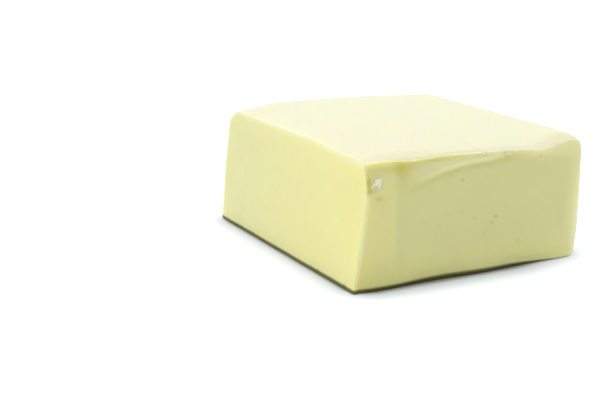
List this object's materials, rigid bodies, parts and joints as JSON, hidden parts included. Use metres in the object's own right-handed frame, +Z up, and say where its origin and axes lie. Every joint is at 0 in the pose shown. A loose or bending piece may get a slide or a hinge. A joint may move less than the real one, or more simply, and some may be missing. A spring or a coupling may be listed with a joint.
{
  "type": "block of butter",
  "caption": "Pressed rectangular block of butter with softly rounded edges, one end sliced off by a knife, resting on its flat foot.",
  "frame": {"origin": "bottom centre of the block's box, on the surface it rests on", "axes": "+X along the block's length, from the knife cut to the moulded far end; the side with the wrapper's fold mark faces -Y; +Z up"},
  "size_m": [0.0772, 0.0772, 0.0355],
  "materials": {
    "butter": "soft waxy sheen, slightly translucent pale yellow butter"
  },
  "bodies": {
    "root": {"butter_block": "butter"}
  },
  "joints": []
}
